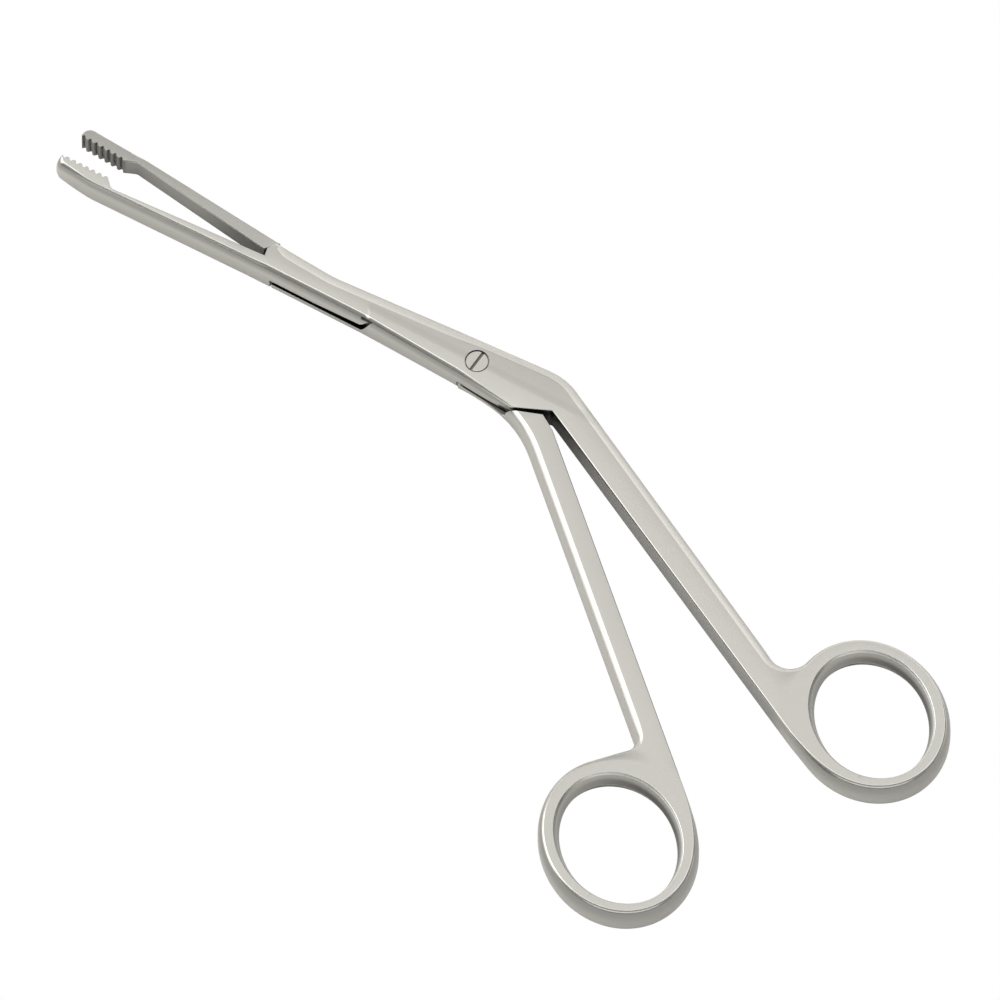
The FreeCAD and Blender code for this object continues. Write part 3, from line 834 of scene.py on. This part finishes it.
class Tree:
    """Node tree of one material or world."""

    def __init__(self, tree: bpy.types.NodeTree) -> None:
        """Wrap a node tree and empty it."""
        self.tree = tree
        tree.nodes.clear()

    def add(self, kind: str, **settings: object) -> bpy.types.Node:
        """Add a node and set its properties."""
        node = self.tree.nodes.new(kind)
        for key, value in settings.items():
            setattr(node, key, value)
        return node

    def feed(self, entry: bpy.types.NodeSocket, value: object) -> None:
        """Link a socket or set a plain value."""
        if isinstance(value, Socket):
            self.tree.links.new(value.socket, entry)
        else:
            entry.default_value = value

    def node(self, kind: str, out: str | int = 0, settings: dict | None = None,
             **entries: object) -> Socket:
        """Add any node, feed its named inputs and give one output.

        Args:
            kind: Node type.
            out: Name or number of the output.
            settings: Properties of the node.
            entries: Inputs by name, with underscores for spaces.

        Returns:
            The chosen output.
        """
        made = self.add(kind, **(settings or {}))
        for key, value in entries.items():
            self.feed(made.inputs[key.replace("_", " ")], value)
        return Socket(self, made.outputs[out])

    def place(self) -> tuple[Socket, Socket, Socket]:
        """Object coordinates in millimetres as three values."""
        spot = self.node("ShaderNodeTexCoord", "Object")
        parts = self.add("ShaderNodeSeparateXYZ")
        self.feed(parts.inputs[0], spot)
        return tuple(Socket(self, parts.outputs[k]) * 1000.0 for k in range(3))

    def normal(self) -> tuple[Socket, Socket, Socket]:
        """Object normal as three values."""
        spot = self.node("ShaderNodeTexCoord", "Normal")
        parts = self.add("ShaderNodeSeparateXYZ")
        self.feed(parts.inputs[0], spot)
        return tuple(Socket(self, parts.outputs[k]) for k in range(3))

    def vector(self, x: object, y: object, z: object) -> Socket:
        """Vector of three values."""
        return self.node("ShaderNodeCombineXYZ", 0, None, X=x, Y=y, Z=z)

    def noise(self, vector: Socket, scale: float, detail: float = 3.0) -> Socket:
        """Noise from 0 to 1."""
        return self.node("ShaderNodeTexNoise", 0, None, Vector=vector, Scale=scale, Detail=detail,
                         Roughness=0.6)

    def surface(self, output: str, plain: Socket, white: Socket) -> None:
        """Give the output node a plain shader, and a white one for the camera's rays."""
        mix = self.add("ShaderNodeMixShader")
        self.feed(mix.inputs[0], self.node("ShaderNodeLightPath", "Is Camera Ray"))
        self.feed(mix.inputs[1], plain)
        self.feed(mix.inputs[2], white)
        self.feed(self.add(output).inputs["Surface"], Socket(self, mix.outputs[0]))

    def blend(self, factor: object, low: object, high: object) -> Socket:
        """Mix two values by a factor."""
        return low * (1.0 - factor) + high * factor


@dataclass(frozen=True)
class PaintedLight:
    """Painted shade or painted highlight on a metal: a box in millimetres with soft sides, darker or
    brighter.
    """

    low: tuple[float, float, float]
    high: tuple[float, float, float]
    soft: tuple[float, float, float]
    share: float

    def factor(self, tree: Tree, x: Socket, y: Socket, z: Socket) -> Socket:
        """Share of the colour left at a place, 1 outside the box."""
        inside = 1.0
        for place, low, high, soft in zip((x, y, z), self.low, self.high, self.soft):
            inside = place.ramp(low - soft, low) * place.fall(high, high + soft) * inside
        return 1.0 - inside * (1.0 - self.share)


@dataclass(frozen=True)
class Finish:
    """Look of one metal, with boxes of painted shade and painted highlight."""

    colour: tuple[float, float, float]
    roughness: float
    grain: float
    painted_lights: tuple[PaintedLight, ...] = ()


# Its boxes are painted shade: in the corner between the shanks by the elbow, in the flange slot, in
# the wedge at the slot's end and in the hook under the cheek.
LOWER_STEEL = Finish((0.55, 0.54, 0.508), 0.24, 0.006, (
    PaintedLight((14.0, -6.5, -1.0), (21.0, -0.5, 5.6), (6.0, 3.0, 0.2), 0.45),
    PaintedLight((-41.3, -2.93, 1.5), (-21.4, 3.0, 3.55), (0.1, 0.06, 0.1), 0.1),
    PaintedLight((-22.6, -2.6, 1.5), (-20.4, -2.2, 5.55), (0.1, 0.06, 0.1), 0.15),
    PaintedLight((-2.5, -3.98, 2.1), (-1.5, -3.0, 3.2), (0.1, 0.06, 0.1), 0.15),
))
# Its boxes are painted shade over the arm and jaw, on the arm's walls and towards the fork, in the
# box joint round the lap, in the cheek gap and on the teeth. The last box is a painted highlight
# along the arm's edge below its near face.
UPPER_STEEL = Finish((0.55, 0.54, 0.508), 0.24, 0.006, (
    PaintedLight((-90.0, -3.0, -1.0), (-46.0, 9.0, 7.0), (3.0, 1.0, 0.1), 0.92),
    PaintedLight((-90.0, -3.0, -1.0), (-44.0, 9.0, 4.75), (0.1, 1.0, 0.1), 0.72),
    PaintedLight((-49.0, -3.0, -1.0), (-44.0, 9.0, 4.75), (12.0, 1.0, 0.1), 0.6),
    PaintedLight((-45.0, -3.9, 1.2), (15.5, 6.0, 3.2), (0.4, 0.3, 0.3), 0.25),
    PaintedLight((-1.0, -5.6, 2.42), (14.5, -3.0, 3.3), (0.1, 0.1, 0.1), 0.2),
    PaintedLight((-87.0, -3.0, -1.0), (-75.7, 9.0, 4.8), (0.5, 1.0, 0.1), 0.68),
    PaintedLight((-73.0, -3.0, 4.5), (-45.0, 9.0, 4.9), (3.0, 1.0, 0.03), 1.9),
))
# Its box is painted shade in the head's slot and on the head's side down in its seat.
SCREW_STEEL = Finish((0.57, 0.555, 0.52), 0.25, 0.003, (
    PaintedLight((-3.0, -3.0, 4.0), (3.0, 3.0, 5.7), (0.1, 0.1, 0.2), 0.35),
))


@dataclass(frozen=True)
class Layout:
    """Where a shank's handle and ring lie, for the grain, the crown and the painted shade on walls.

    The angle is the handle's in degrees, start is where it begins along itself, middle is its centre
    line's distance across, and turn is the pose of the shank. Crown is the near face's curvature,
    wall the way the handle's inner wall faces, wall_share the share of the colour left there by
    painted shade, and step the height of the step beside the slot's end.
    """

    angle: float
    start: float
    middle: float
    ring: Ring
    turn: float
    crown: float
    wall: tuple[float, float]
    wall_share: float
    step: float = 0.0


def colour_of(tree: Tree, finish: Finish, share: Socket) -> Socket:
    """Metal colour scaled by a varying share."""
    channels = [share * value for value in finish.colour]
    return tree.node("ShaderNodeCombineColor", 0, None, Red=channels[0], Green=channels[1],
                     Blue=channels[2])


def handle_frame(x: Socket, y: Socket, layout: Layout) -> tuple[Socket, Socket]:
    """Distances along and across a handle, in millimetres."""
    lean = math.radians(layout.angle)
    return (x * math.cos(lean) + y * math.sin(lean),
            y * math.cos(lean) - x * math.sin(lean))


def ring_frame(x: Socket, y: Socket, layout: Layout) -> tuple[Socket, Socket, Socket, Socket]:
    """Distance from a ring's centre, angle round it, hole's oval there, and way up right."""
    hole = layout.ring.hole
    centre = turned(np.array([[hole.x, hole.y, 0.0]]), layout.turn)[0]
    dx, dy = x - float(centre[0]), y - float(centre[1])
    radius = (dx * dx + dy * dy).root()
    lean = math.radians(layout.turn - hole.tilt)
    u = (dx * math.cos(lean) + dy * math.sin(lean)) / hole.long
    v = (dy * math.cos(lean) - dx * math.sin(lean)) / hole.short
    return radius, dy.angle_to(dx), (u * u + v * v).root(), (dx * 0.6 + dy * 0.8) / radius


GRAIN_ALONG = 0.05
GRAIN_ROUND = 0.7
GRAIN_ACROSS = 5.0
CLOUD_SCALE = 0.09


def brushed(tree: Tree, along: Socket, across: Socket, z: Socket,
            scale: float = GRAIN_ALONG) -> Socket:
    """Brushed grain: noise that is stretched along one way.

    Args:
        tree: Node tree.
        along: Distance or angle along the grain.
        across: Distance across it.
        z: Height.
        scale: Scale along the grain.

    Returns:
        The grain, from 0 to 1.
    """
    return tree.noise(tree.vector(along * scale, across * GRAIN_ACROSS, z * GRAIN_ACROSS), 1.0)


@dataclass(frozen=True)
class Tones:
    """Shares by which places on a shank are painted darker or brighter than its colour, as painted
    shade and painted highlights.
    """

    hole_wall: float = 0.12
    hole_band: float = 0.16
    hole_far_right: float = 0.46
    ridge: float = 0.6
    foot: float = 0.5
    outer_wall: float = 0.38
    outer_foot: float = 0.14
    under_face: float = 0.36
    rim_right: float = 0.75
    rim_left: float = 0.5
    edge_highlight: float = 0.5


class ShankSkin:
    """Masks of a shank's places, and the grain, crown, painted shade and painted highlights that they
    give.

    The constants are limits of soft steps: in millimetres, or as shares of the hole's oval,
    or of the way up right from the ring's centre.
    """

    HANDLE_FADE = 6.0
    RING_REACH = (15.5, 18.5)
    SHAFT_MIDDLE = -0.3
    STEP_MIDDLE = -2.4
    STEP_CURVE = 0.14
    STEP_X = (-22.1, -21.0)
    STEP_Y = (-0.8, 1.0)
    HOLE_OVAL = (1.105, 1.125)
    HOLE_TOP = (5.3, 5.5)
    BAND = ((2.75, 3.1), (3.9, 5.1))
    FAR_RIGHT = (-0.5, 0.9)
    RIDGE = ((2.6, 2.9), (3.0, 3.15))
    FOOT = (0.4, 0.7)
    OUTER_OVAL = (1.19, 1.2)
    OUTER_TOP = (5.6, 5.85)
    OUTER_DARK = (2.0, 5.2)
    OUTER_BRIGHT = (0.8, 2.6)
    UNDER_FACE = ((4.1, 5.3), (5.6, 5.94))
    UNDER_FACE_Y = (-1.5, -0.5)
    RIM_OVAL = (1.12, 1.13)
    RIM = ((5.2, 5.5), (5.985, 5.995))
    RIM_RIGHT = (-0.25, 0.15)
    RIM_LEFT = (-0.5, -0.2)
    # Heights of the painted highlight along the rounding below the near face.
    EDGE_HIGHLIGHT = ((5.45, 5.85), (5.98, 5.997))
    WALL_FACING = (0.4, 0.8)
    WALL_FADE = 4.0

    def __init__(self, tree: Tree, place: tuple[Socket, Socket, Socket], layout: Layout) -> None:
        """Measure a place, given in millimetres, against a shank's layout."""
        self.tree = tree
        self.layout = layout
        self.x, self.y, self.z = place
        self.along, self.across = handle_frame(self.x, self.y, layout)
        self.radius, self.turn, self.oval, self.heading = ring_frame(self.x, self.y, layout)
        self.on_handle = self.along.ramp(layout.start, layout.start + self.HANDLE_FADE)
        self.near_ring = self.radius.fall(*self.RING_REACH)

    def between(self, limits: tuple[Point, Point]) -> Socket:
        """Mask of the heights between a rising and a falling step."""
        return self.z.ramp(*limits[0]) * self.z.fall(*limits[1])

    def grain(self, shaft_grain: Socket) -> Socket:
        """Grain that turns from the shaft to the handle, and round the ring."""
        handle_grain = brushed(self.tree, self.along, self.across, self.z)
        ring_grain = brushed(self.tree, self.turn, self.radius, self.z, GRAIN_ROUND)
        grain = self.tree.blend(self.on_handle, shaft_grain, handle_grain)
        return self.tree.blend(self.near_ring, grain, ring_grain)

    def crown(self) -> Socket:
        """Height of the crowned near face, with the step beside the slot's end."""
        from_middle = self.across - self.layout.middle
        shaft_y = self.y - self.SHAFT_MIDDLE
        bulge = self.tree.blend(self.on_handle, shaft_y * shaft_y, from_middle * from_middle)
        crown = bulge * (1.0 - self.near_ring) * (self.layout.crown * -0.5)
        if self.layout.step:
            tongue = self.y - self.STEP_MIDDLE
            right = (self.x + tongue * tongue * self.STEP_CURVE).ramp(*self.STEP_X)
            crown = crown + right * self.y.fall(*self.STEP_Y) * self.layout.step
        return crown

    def tone(self, share: Socket, tones: Tones) -> Socket:
        """Share of the colour left by painted shade and painted highlights on the hole's wall, the
        outer wall, the rims and the handle.

        Args:
            share: Share of the colour before.
            tones: How much darker or brighter each place is painted.

        Returns:
            The new share.
        """
        z = self.z
        # Painted shade on the hole's wall, deepest in a band and towards the upper right.
        hole_wall = self.oval.fall(*self.HOLE_OVAL) * z.fall(*self.HOLE_TOP)
        far_right = self.heading.ramp(*self.FAR_RIGHT)
        band = self.between(self.BAND) * (tones.hole_band + far_right * tones.hole_far_right)
        share = share * (1.0 - hole_wall * (tones.hole_wall + band))
        # Painted highlight on the hole's middle ridge and painted shade at its foot.
        ridge = hole_wall * self.between(self.RIDGE)
        foot = hole_wall * z.fall(*self.FOOT)
        share = share * (1.0 + ridge * tones.ridge - foot * tones.foot)
        # Painted shade on the upper part of the ring's outer wall and painted highlight near its
        # foot.
        outer = self.oval.ramp(*self.OUTER_OVAL) * self.near_ring * z.fall(*self.OUTER_TOP)
        dark = outer * z.ramp(*self.OUTER_DARK) * tones.outer_wall
        bright = outer * z.fall(*self.OUTER_BRIGHT) * tones.outer_foot
        share = share * (1.0 - dark + bright)
        # Painted shade on the shaft's lower rounding under its near face.
        under_face = (1.0 - self.on_handle) * self.between(self.UNDER_FACE)
        share = share * (1.0 - under_face * self.y.fall(*self.UNDER_FACE_Y) * tones.under_face)
        # Painted highlight on the upper right of the hole's rim and painted shade on its lower left.
        rim = self.oval.fall(*self.RIM_OVAL) * self.between(self.RIM)
        right = rim * self.heading.ramp(*self.RIM_RIGHT) * tones.rim_right
        left = rim * self.heading.fall(*self.RIM_LEFT) * tones.rim_left
        share = share * (1.0 + right - left)
        # Painted highlight along the rounding just below the near face.
        share = share * (1.0 + self.between(self.EDGE_HIGHLIGHT) * tones.edge_highlight)
        # Painted shade on the handle's inner wall.
        return share * (1.0 - self.inner_wall() * (1.0 - self.layout.wall_share))

    def inner_wall(self) -> Socket:
        """Mask of the handle's inner wall, where painted shade goes."""
        nx, ny, _ = self.tree.normal()
        wall_x, wall_y = self.layout.wall
        facing = (nx * wall_x + ny * wall_y).ramp(*self.WALL_FACING)
        start = self.layout.start
        return facing * self.along.ramp(start - self.WALL_FADE, start) * (1.0 - self.near_ring)


def steel(name: str, finish: Finish, layout: Layout | None) -> bpy.types.Material:
    """Brushed steel whose grain follows shaft, handle and ring.

    The near face is slightly crowned across the shaft and the handle by the bump. The hole's wall and
    the handle's inner wall are painted darker, as painted shade of a closed corner, and painted
    highlights and painted shade also lie on the rims and in the finish's boxes.

    Args:
        name: Name of the material.
        finish: Colour, roughness and strength of the grain.
        layout: Directions of the grain, or None for a plain grain.

    Returns:
        The material.
    """
    material = bpy.data.materials.new(name)
    material.use_nodes = True
    tree = Tree(material.node_tree)
    x, y, z = tree.place()
    grain = brushed(tree, x, y, z)
    crown = 0.0
    cloud = tree.noise(tree.vector(x, y, z), CLOUD_SCALE, 2.0)
    share = 0.96 + cloud * 0.06
    if layout is not None:
        skin = ShankSkin(tree, (x, y, z), layout)
        grain = skin.grain(grain)
        crown = skin.crown()
        # Painted shade and painted highlights on the shank's walls and rims.
        share = skin.tone(share, Tones())
    # Painted shade and painted highlights of the finish's boxes.
    for shade in finish.painted_lights:
        share = share * shade.factor(tree, x, y, z)
    share = share + grain * 0.03
    rough = finish.roughness + (grain - 0.5) * 0.07 + (cloud - 0.5) * 0.05
    bump = tree.node("ShaderNodeBump", 0, None, Strength=1.0, Distance=MM,
                     Height=grain * finish.grain + crown)
    shader = tree.node("ShaderNodeBsdfPrincipled", 0, None, Metallic=1.0, Roughness=rough,
                       Normal=bump)
    tree.feed(shader.socket.node.inputs["Base Color"], colour_of(tree, finish, share))
    tree.feed(tree.add("ShaderNodeOutputMaterial").inputs["Surface"], shader)
    return material


def build_floor() -> None:
    """Pale floor that the camera sees as plain white."""
    size, level = 1.2, -0.0005
    mesh = bpy.data.meshes.new("floor")
    mesh.from_pydata([(x, y, level) for x, y in box(-size, size, -size, size)], [], [(0, 1, 2, 3)])
    floor = bpy.data.objects.new("floor", mesh)
    bpy.context.scene.collection.objects.link(floor)
    material = bpy.data.materials.new("floor white")
    material.use_nodes = True
    tree = Tree(material.node_tree)
    pale = tree.node("ShaderNodeBsdfDiffuse", 0, None, Color=(0.82, 0.82, 0.81, 1.0))
    white = tree.node("ShaderNodeEmission", 0, None, Color=(1.0, 1.0, 1.0, 1.0), Strength=1.0)
    tree.surface("ShaderNodeOutputMaterial", pale, white)
    mesh.materials.append(material)


def build_world() -> None:
    """Dim surroundings for the metal, plain white for the camera."""
    world = bpy.data.worlds.new("surroundings")
    bpy.context.scene.world = world
    world.use_nodes = True
    tree = Tree(world.node_tree)
    dim = tree.node("ShaderNodeBackground", 0, None, Color=(0.27, 0.27, 0.267, 1.0), Strength=1.0)
    white = tree.node("ShaderNodeBackground", 0, None, Color=(1.0, 1.0, 1.0, 1.0), Strength=1.0)
    tree.surface("ShaderNodeOutputWorld", dim, white)


@dataclass(frozen=True)
class Softbox:
    """Area light aimed at the forceps: where it stands, how large and how bright it is."""

    name: str
    azimuth: float
    elevation: float
    width: float
    height: float
    radiance: float
    mirrored: bool = True


TARGET = Vector((0.010, -0.030, 0.003))
CAMERA_AZIMUTH = 29.76
CAMERA_ELEVATION = 63.0
CAMERA_DISTANCE = 8.0
CAMERA_RIGHT = 4.14 * MM
CAMERA_DOWN = 25.02 * MM
FIELD = 0.180
SENSOR = 36.0


def back_vector(azimuth: float, elevation: float) -> Vector:
    """Unit vector from the part towards a camera or light, from its two angles in degrees."""
    a, e = math.radians(azimuth), math.radians(elevation)
    return Vector((math.sin(a) * math.cos(e), -math.cos(a) * math.cos(e), math.sin(e)))


def side_vector(azimuth: float) -> Vector:
    """Level unit vector to the right of a camera or light that looks at the part."""
    a = math.radians(azimuth)
    return Vector((math.cos(a), math.sin(a), 0.0))


FAR_SIDE = CAMERA_AZIMUTH + 180.0
SOFTBOXES = (
    Softbox("horizon", FAR_SIDE, 10.0, 2.2, 0.28, 0.50),
    Softbox("low", FAR_SIDE - 10.0, 24.0, 1.6, 0.30, 0.42),
    Softbox("rear", FAR_SIDE - 5.0, 40.0, 1.8, 0.30, 0.50),
    Softbox("far", FAR_SIDE, 56.0, 2.0, 0.30, 0.64),
    Softbox("high", FAR_SIDE, 72.0, 2.0, 0.30, 0.84),
    Softbox("top", FAR_SIDE, 90.0, 2.0, 0.36, 1.10),
    Softbox("front", CAMERA_AZIMUTH, 18.0, 1.8, 0.36, 0.75),
    Softbox("left", CAMERA_AZIMUTH - 105.0, 30.0, 0.9, 1.0, 1.20),
    Softbox("floor", FAR_SIDE, 85.0, 1.6, 1.6, 0.6, False),
)


def build_lights() -> None:
    """Large softboxes, each of a stated radiance, one metre away."""
    for softbox in SOFTBOXES:
        data = bpy.data.lights.new(softbox.name, "AREA")
        data.shape = "RECTANGLE"
        data.size = softbox.width
        data.size_y = softbox.height
        data.energy = softbox.radiance * math.pi * softbox.width * softbox.height
        data.color = (1.0, 0.99, 0.97)
        light = bpy.data.objects.new(softbox.name, data)
        way = back_vector(softbox.azimuth, softbox.elevation)
        side = side_vector(softbox.azimuth)
        light.matrix_world = Matrix((side, way.cross(side), way)).transposed().to_4x4()
        light.location = TARGET + way
        light.visible_glossy = softbox.mirrored
        light.visible_camera = False
        bpy.context.scene.collection.objects.link(light)


def build_camera() -> None:
    """Long-lens camera that matches the photo."""
    right = side_vector(CAMERA_AZIMUTH)
    back = back_vector(CAMERA_AZIMUTH, CAMERA_ELEVATION)
    up = back.cross(right)
    aim = Vector((0.0, 0.0, DEPTH * MM)) + right * CAMERA_RIGHT - up * CAMERA_DOWN
    data = bpy.data.cameras.new("camera")
    data.sensor_width = SENSOR
    data.lens = SENSOR * CAMERA_DISTANCE / FIELD
    data.clip_start = 1.0
    data.clip_end = 60.0
    camera = bpy.data.objects.new("camera", data)
    camera.location = aim + back * CAMERA_DISTANCE
    camera.rotation_euler = back.to_track_quat("Z", "Y").to_euler()
    bpy.context.scene.collection.objects.link(camera)
    bpy.context.scene.camera = camera


def main() -> None:
    """Build the pieces, their metal, the light and the camera."""
    logging.basicConfig(level=logging.INFO)
    bpy.context.scene.view_settings.view_transform = "Standard"
    bpy.context.scene.render.resolution_x = PICTURE_SIZE
    bpy.context.scene.render.resolution_y = PICTURE_SIZE
    for part in (LowerShank(), UpperShank(), PivotScrew()):
        piece = part.build()
        part.dress(piece)
        log.info("%s: %d faces", piece.name, len(piece.data.polygons))
    build_floor()
    build_world()
    build_lights()
    build_camera()


if __name__ == "__main__":
    main()
